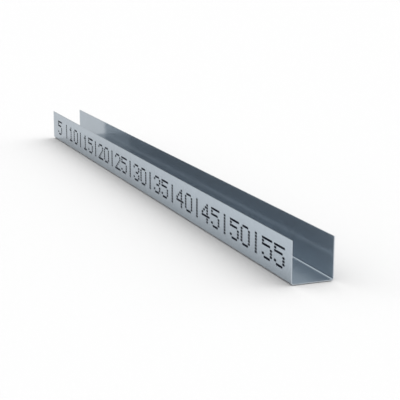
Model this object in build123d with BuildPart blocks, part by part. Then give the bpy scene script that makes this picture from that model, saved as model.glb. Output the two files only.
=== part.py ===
from build123d import *
import os

# Drywall track: one strip of galvanised steel, roll-formed to a U and cut square at both ends.
# Millimetres. X runs along the track, the web's underside is on Z = 0 and the channel opens
# upwards. The origin is the middle of the web's underside.

# Driving dimensions
track_length = 550.0
web_width = 28.0  # over the outsides of the two flanges
flange_height = 27.0  # from the web's underside to the flange lips
sheet_thickness = 0.6
inner_bend_radius = 1.0
lip_rounding = 0.1  # what slitting and rolling leave on the strip's long edges

# The strip's mid-line, which the sheet lies half a thickness each side of
flange_middle = (web_width - sheet_thickness) / 2
web_middle = sheet_thickness / 2
bend_radius_at_middle = inner_bend_radius + sheet_thickness / 2

with BuildPart() as track:
    with BuildSketch(Plane.YZ.offset(-track_length / 2)):
        with BuildLine():
            FilletPolyline(
                (-flange_middle, flange_height),
                (-flange_middle, web_middle),
                (flange_middle, web_middle),
                (flange_middle, flange_height),
                radius=bend_radius_at_middle,
            )
        trace(line_width=sheet_thickness)
    extrude(amount=track_length)
    lips = track.faces().group_by(Axis.Z)[-1]
    lip_edges = lips.edges().filter_by(Axis.X)
    fillet(lip_edges, radius=min(lip_rounding, sheet_thickness / 3))

track.part.label = "track"

os.makedirs("parts", exist_ok=True)
export_step(track.part, "parts/track.step")
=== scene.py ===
import math

import bmesh
import bpy
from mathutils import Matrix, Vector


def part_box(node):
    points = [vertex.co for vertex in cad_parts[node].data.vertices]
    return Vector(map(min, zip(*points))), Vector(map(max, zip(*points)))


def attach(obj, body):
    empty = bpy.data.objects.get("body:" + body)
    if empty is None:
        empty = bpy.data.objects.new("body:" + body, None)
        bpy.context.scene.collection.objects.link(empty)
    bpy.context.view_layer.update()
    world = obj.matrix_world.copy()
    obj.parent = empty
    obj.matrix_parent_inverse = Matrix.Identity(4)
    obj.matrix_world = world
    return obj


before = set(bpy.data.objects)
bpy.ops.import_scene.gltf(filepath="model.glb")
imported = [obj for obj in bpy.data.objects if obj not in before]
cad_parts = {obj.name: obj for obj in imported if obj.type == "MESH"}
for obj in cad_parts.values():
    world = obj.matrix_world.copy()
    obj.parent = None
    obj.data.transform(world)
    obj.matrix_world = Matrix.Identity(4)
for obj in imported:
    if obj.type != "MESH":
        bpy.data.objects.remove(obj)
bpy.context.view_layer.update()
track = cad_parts["track"]
track_low, track_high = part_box("track")

# Galvanised steel
zinc_dark = (0.470, 0.535, 0.594)
zinc_light = (0.530, 0.603, 0.670)
zinc_roughness = (0.097, 0.126)
zinc_anisotropy = 0.70  # the rolls leave it smoother along the track than across
zinc_metal = 0.81  # the rest is the thin dull oxide on the zinc
zinc_edge_tint = (0.68, 0.68, 0.68)  # of its shine at a grazing look
sheared_end = (0.53, 0.58, 0.63)  # fresh steel
slit_lip = (0.23, 0.26, 0.28)  # steel dulled by the rolls
cut_roughness = 0.42
cut_depth = 0.00002  # how far the bare cut edge reaches in from the sheet's rim
grain_size = 0.0011  # across the rolling direction
grain_stretch = 14.0  # how many times longer the grain is along the track
grain_height = 0.0000002
wave_length = 0.045
wave_height = 0.00003

# Noise: how many finer layers it has, and the share of its strength that each hands on to the next
streak_layers = (3.0, 0.6)
mottle_layers = (4.0, 0.55)
wave_layers = (1.0, 0.5)
mottle_fineness = 0.08  # share of the streaks' fineness across the rolling direction

# Printed scale: dot-matrix figures, a number for each 50 mm and a line of dots at its end
scale_step = 0.050
figure_unit = 0.010  # the numbers count centimetres
ink_thin = (0.010, 0.013, 0.022)  # where the zinc's grain shows through
ink_full = (0.004, 0.005, 0.009)
ink_roughness = 0.7
ink_grain_size = 0.0004
ink_grain_stretch = 2.0
ink_grain_height = 0.000004
ink_thickness = 0.00002
ink_second_pass = 0.7  # share of that thickness in every other column of dots
dot_size = (0.0034, 0.0016)  # along the track, where neighbours overlap, and up the flange
dot_fullness = 0.6  # power: 1 is an ellipse, less fills its corners out
dot_flat_top = 0.92  # share of the dot's size
dot_corners = 16
column_pitch = 0.0029
row_pitch = 0.0020
matrix_rows = 7
matrix_columns = 5
figure_pitch = matrix_columns + 1  # columns, with an empty one between two figures
figure_dots = {  # rows from the top down, with an o for each dot
    "0": (" ooo ", "o   o", "o   o", "o   o", "o   o", "o   o", " ooo "),
    "1": ("  o  ", " oo  ", "  o  ", "  o  ", "  o  ", "  o  ", " ooo "),
    "2": (" ooo ", "o   o", "    o", "   o ", "  o  ", " o   ", "ooooo"),
    "3": (" ooo ", "o   o", "    o", "  oo ", "    o", "o   o", " ooo "),
    "4": ("   o ", "  oo ", " o o ", "o  o ", "ooooo", "   o ", "   o "),
    "5": ("ooooo", "o    ", "oooo ", "    o", "    o", "o   o", " ooo "),
}

# Studio
floor_colour = (0.94, 0.94, 0.94)
floor_half_width = 6.0
floor_gap = 0.0004  # the bow and burrs of a cut length hold its web this far off the floor
sky_colour = (1.0, 1.0, 1.0)
sky_light = 0.60  # as it falls on dull surfaces
background_light = 1.0  # white, as the camera and the steel see it
steel_reflections = 8  # one after another, between the two flanges and the web
lamp_softness = 78.0  # degrees across
lamps = {  # degrees round from +X towards +Y, degrees up, strength
    "left_lamp": (199.0, 18.0, 1.30),
    "right_lamp": (110.0, 51.0, 1.27),
}

# Camera, from the photograph's vanishing points and the section's 28 x 27 mm
camera_place = (0.8417, -0.2950, 0.1949)
camera_yaw = 21.57  # degrees from -X towards +Y
camera_dip = 12.857
focal_pixels = 1129.5
frame_pixels = 400.0
sensor_width = 36.0  # millimetres, as the camera's own lens length is


def add_node(tree, kind, sockets=None, **settings):
    """A new node. sockets gives each named input a value, or a link where it is given an output."""
    node = tree.nodes.new(kind)
    for name, value in settings.items():
        setattr(node, name, value)
    for name, value in (sockets or {}).items():
        if isinstance(value, bpy.types.NodeSocket):
            tree.links.new(value, node.inputs[name])
        else:
            node.inputs[name].default_value = value
    return node


def calculate(tree, operation, first, second=0.0):
    """The output of a Math node."""
    return add_node(tree, "ShaderNodeMath", {0: first, 1: second}, operation=operation).outputs[0]


def between(tree, share, low, high):
    """A value that goes from low to high as share goes from 0 to 1."""
    spread = add_node(tree, "ShaderNodeMapRange", {"Value": share, "To Min": low, "To Max": high})
    return spread.outputs["Result"]


def opaque(colour):
    """A colour with its fourth number, full cover. A link stays as it is."""
    return colour if isinstance(colour, bpy.types.NodeSocket) else (*colour, 1.0)


def blend_colour(tree, share, first, second):
    """A colour that goes from first to second as share goes from 0 to 1."""
    sockets = {0: share, 6: opaque(first), 7: opaque(second)}  # a colour mix's own places for them
    return add_node(tree, "ShaderNodeMix", sockets, data_type="RGBA").outputs[2]


def add_noise(tree, place, scale, layers):
    """Soft noise from 0 to 1. scale is how many lumps it has to each unit of place."""
    finer, handed_on = layers
    noise = add_node(
        tree, "ShaderNodeTexNoise",
        {"Vector": place, "Scale": scale, "Detail": finer, "Roughness": handed_on},
    )
    return noise.outputs["Fac"]


def raise_surface(tree, height):
    """The normal of a surface that stands out by height, in metres."""
    return add_node(tree, "ShaderNodeBump", {"Height": height, "Distance": 1.0}).outputs["Normal"]


def new_group(name, inputs, outputs):
    """An empty shader node group with float and vector sockets, and its two end nodes."""
    group = bpy.data.node_groups.new(name, "ShaderNodeTree")
    for socket_name, kind in inputs:
        group.interface.new_socket(socket_name, in_out="INPUT", socket_type=kind)
    for socket_name, kind in outputs:
        group.interface.new_socket(socket_name, in_out="OUTPUT", socket_type=kind)
    return group, group.nodes.new("NodeGroupInput"), group.nodes.new("NodeGroupOutput")


def make_rolled_grain():
    """Zinc drawn out along the track by the rolls: a mottle, fine streaks and their relief."""
    group, given, made = new_group(
        "rolled_grain",
        [("Place", "NodeSocketVector"), ("Grain Size", "NodeSocketFloat"),
         ("Stretch", "NodeSocketFloat"), ("Height", "NodeSocketFloat")],
        [("Mottle", "NodeSocketFloat"), ("Streaks", "NodeSocketFloat"), ("Relief", "NodeSocketFloat")],
    )
    across = calculate(group, "DIVIDE", 1.0, given.outputs["Grain Size"])
    along = calculate(group, "DIVIDE", across, given.outputs["Stretch"])
    fineness = add_node(group, "ShaderNodeCombineXYZ", {"X": along, "Y": across, "Z": across})
    drawn_out = add_node(
        group, "ShaderNodeVectorMath",
        {0: given.outputs["Place"], 1: fineness.outputs["Vector"]}, operation="MULTIPLY",
    )
    streaks = add_noise(group, drawn_out.outputs["Vector"], 1.0, streak_layers)
    mottle_scale = calculate(group, "MULTIPLY", across, mottle_fineness)
    mottle = add_noise(group, given.outputs["Place"], mottle_scale, mottle_layers)
    relief = calculate(group, "MULTIPLY", streaks, given.outputs["Height"])
    for name, output in (("Mottle", mottle), ("Streaks", streaks), ("Relief", relief)):
        group.links.new(output, made.inputs[name])
    return group


def place_grain(tree, rolled_grain, place, size, stretch, height):
    """The rolled grain in a material, with that material's own values."""
    sockets = {"Place": place, "Grain Size": size, "Stretch": stretch, "Height": height}
    return add_node(tree, "ShaderNodeGroup", sockets, node_tree=rolled_grain)


def new_material(name):
    """A material with an empty node tree."""
    material = bpy.data.materials.new(name)
    material.use_nodes = True
    material.node_tree.nodes.clear()
    return material


def find_cut_edges(tree, place):
    """Two masks: 1 on the sheared ends, and 1 along the slit lips."""
    apart = add_node(tree, "ShaderNodeSeparateXYZ", {"Vector": place})
    from_middle = calculate(tree, "ABSOLUTE", apart.outputs["X"])
    at_end = calculate(tree, "GREATER_THAN", from_middle, track_high.x - cut_depth)
    at_lip = calculate(tree, "GREATER_THAN", apart.outputs["Z"], track_high.z - cut_depth)
    return at_end, at_lip


def make_galvanised_steel(rolled_grain):
    """Bluish zinc on the rolled faces, bare sheared steel on the cut ends and along the lips."""
    steel = new_material("galvanised_steel")
    tree = steel.node_tree
    place = add_node(tree, "ShaderNodeTexCoord").outputs["Object"]
    grain = place_grain(tree, rolled_grain, place, grain_size, grain_stretch, grain_height)
    at_end, at_lip = find_cut_edges(tree, place)
    colour = blend_colour(tree, grain.outputs["Mottle"], zinc_dark, zinc_light)
    colour = blend_colour(tree, at_lip, colour, slit_lip)
    colour = blend_colour(tree, at_end, colour, sheared_end)
    zinc_gloss = between(tree, grain.outputs["Streaks"], *zinc_roughness)
    cut = calculate(tree, "MAXIMUM", at_end, at_lip)
    roughness = between(tree, cut, zinc_gloss, cut_roughness)
    wave = add_noise(tree, place, 1.0 / wave_length, wave_layers)
    height = calculate(tree, "MULTIPLY", wave, wave_height)
    height = calculate(tree, "ADD", height, grain.outputs["Relief"])
    around = add_node(tree, "ShaderNodeTangent", direction_type="RADIAL", axis="X")
    shader = add_node(
        tree, "ShaderNodeBsdfPrincipled",
        {"Base Color": colour, "Metallic": zinc_metal, "Roughness": roughness,
         "Specular Tint": opaque(zinc_edge_tint), "Normal": raise_surface(tree, height),
         "Anisotropic": zinc_anisotropy, "Tangent": around.outputs["Tangent"]},
    )
    add_node(tree, "ShaderNodeOutputMaterial", {"Surface": shader.outputs["BSDF"]})
    return steel


def make_marking_ink(rolled_grain):
    """Matt, nearly black ink jetted on to the zinc, a little thinner on the grain's ridges."""
    ink = new_material("marking_ink")
    tree = ink.node_tree
    place = add_node(tree, "ShaderNodeTexCoord").outputs["Object"]
    grain = place_grain(tree, rolled_grain, place, ink_grain_size, ink_grain_stretch, ink_grain_height)
    shader = add_node(
        tree, "ShaderNodeBsdfPrincipled",
        {"Base Color": blend_colour(tree, grain.outputs["Streaks"], ink_full, ink_thin),
         "Roughness": ink_roughness, "Specular IOR Level": 0.0,
         "Normal": raise_surface(tree, grain.outputs["Relief"])},
    )
    add_node(tree, "ShaderNodeOutputMaterial", {"Surface": shader.outputs["BSDF"]})
    return ink


def make_studio_white():
    """Pale floor that keeps the track's shadow and shows as white where it is lit."""
    studio_white = new_material("studio_white")
    tree = studio_white.node_tree
    lit = add_node(tree, "ShaderNodeBsdfDiffuse", {"Color": opaque(floor_colour)})
    add_node(tree, "ShaderNodeOutputMaterial", {"Surface": lit.outputs["BSDF"]})
    return studio_white


def new_piece(name, form, material):
    """A mesh object made from a bmesh."""
    mesh = bpy.data.meshes.new(name)
    form.to_mesh(mesh)
    form.free()
    mesh.materials.append(material)
    piece = bpy.data.objects.new(name, mesh)
    bpy.context.scene.collection.objects.link(piece)
    return piece


def fill_out(reach):
    """A cosine or sine, changed so that the outline it draws has fuller corners."""
    return math.copysign(abs(reach) ** dot_fullness, reach)


def add_ink_dot(form, along, up, thickness):
    """One flat dot of ink on the flange's outer face, which looks to -Y."""
    rings = []
    for depth, share in ((0.0, 1.0), (thickness, dot_flat_top)):
        ring = []
        for corner in range(dot_corners):
            turn = 2.0 * math.pi * corner / dot_corners
            x = along + share * dot_size[0] / 2 * fill_out(math.cos(turn))
            z = up + share * dot_size[1] / 2 * fill_out(math.sin(turn))
            ring.append(form.verts.new((x, track_low.y - depth, z)))
        rings.append(ring)
    back, front = rings
    for corner in range(dot_corners):
        after = (corner + 1) % dot_corners
        form.faces.new((back[corner], back[after], front[after], front[corner]))
    form.faces.new(front)
    form.faces.new(reversed(back))


def find_dots(number):
    """The column and row of each dot of a number, counted from its lower left corner."""
    for place, figure in enumerate(number):
        for row, dots in enumerate(reversed(figure_dots[figure])):
            for column, dot in enumerate(dots):
                if dot == "o":
                    yield place * figure_pitch + column, row


def make_printed_scale(ink):
    """Centimetre numbers along the front flange, each left of the line of dots that it names.

    The last one names the cut end, which has no line.
    """
    form = bmesh.new()
    middle = (track_low.z + track_high.z) / 2
    lowest_row = middle - row_pitch * (matrix_rows - 1) / 2
    steps = round((track_high.x - track_low.x) / scale_step)
    for step in range(1, steps + 1):
        line = track_low.x + step * scale_step
        number = str(round(step * scale_step / figure_unit))
        columns = len(number) * figure_pitch - 1
        first = line - scale_step / 2 - column_pitch * (columns - 1) / 2
        for column, row in find_dots(number):
            thickness = ink_thickness * (ink_second_pass if column % 2 else 1.0)
            add_ink_dot(form, first + column_pitch * column, lowest_row + row_pitch * row, thickness)
        if step < steps:
            for row in range(matrix_rows):
                add_ink_dot(form, line, lowest_row + row_pitch * row, ink_thickness)
    bmesh.ops.recalc_face_normals(form, faces=form.faces)
    scale = new_piece("printed_scale", form, ink)
    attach(scale, "root")


def make_floor(studio_white):
    """A wide level floor, just under the track."""
    form = bmesh.new()
    bmesh.ops.create_grid(form, x_segments=1, y_segments=1, size=floor_half_width)
    floor = new_piece("studio_floor", form, studio_white)
    floor.location.z = track_low.z - floor_gap


def make_sky():
    """An even sky, which the camera and the steel see as plain white."""
    world = bpy.data.worlds.new("studio")
    bpy.context.scene.world = world
    world.use_nodes = True
    tree = world.node_tree
    tree.nodes.clear()
    ray = add_node(tree, "ShaderNodeLightPath")
    seen = calculate(tree, "MAXIMUM", ray.outputs["Is Camera Ray"], ray.outputs["Is Glossy Ray"])
    strength = between(tree, seen, sky_light, background_light)
    sky = add_node(tree, "ShaderNodeBackground", {"Color": opaque(sky_colour), "Strength": strength})
    add_node(tree, "ShaderNodeOutputWorld", {"Surface": sky.outputs["Background"]})


def make_lamps():
    """Two broad soft lamps behind the track, one to each side."""
    for name, (heading, height, strength) in lamps.items():
        light = bpy.data.lights.new(name, "SUN")
        light.energy = strength
        light.angle = math.radians(lamp_softness)
        lamp = bpy.data.objects.new(name, light)
        lamp.rotation_euler = (math.radians(90.0 - height), 0.0, math.radians(heading + 90.0))
        lamp.visible_glossy = False
        bpy.context.scene.collection.objects.link(lamp)


def make_camera():
    """The photograph's own view of the track."""
    camera = bpy.data.objects.new("camera", bpy.data.cameras.new("camera"))
    camera.data.sensor_width = sensor_width
    camera.data.lens = focal_pixels / frame_pixels * sensor_width
    camera.location = camera_place
    camera.rotation_euler = (math.radians(90.0 - camera_dip), 0.0, math.radians(90.0 - camera_yaw))
    bpy.context.scene.collection.objects.link(camera)
    bpy.context.scene.camera = camera


rolled_grain = make_rolled_grain()
track.material_slots[0].material = make_galvanised_steel(rolled_grain)
make_printed_scale(make_marking_ink(rolled_grain))
make_floor(make_studio_white())
make_sky()
make_lamps()
make_camera()
bpy.context.scene.view_settings.view_transform = "Standard"
bpy.context.scene.cycles.caustics_reflective = False  # the steel throws no light back on to the floor
bpy.context.scene.cycles.glossy_bounces = steel_reflections
bpy.context.scene.cycles.denoising_input_passes = "RGB"  # the gloss makes the other passes grainy

bpy.context.view_layer.update()
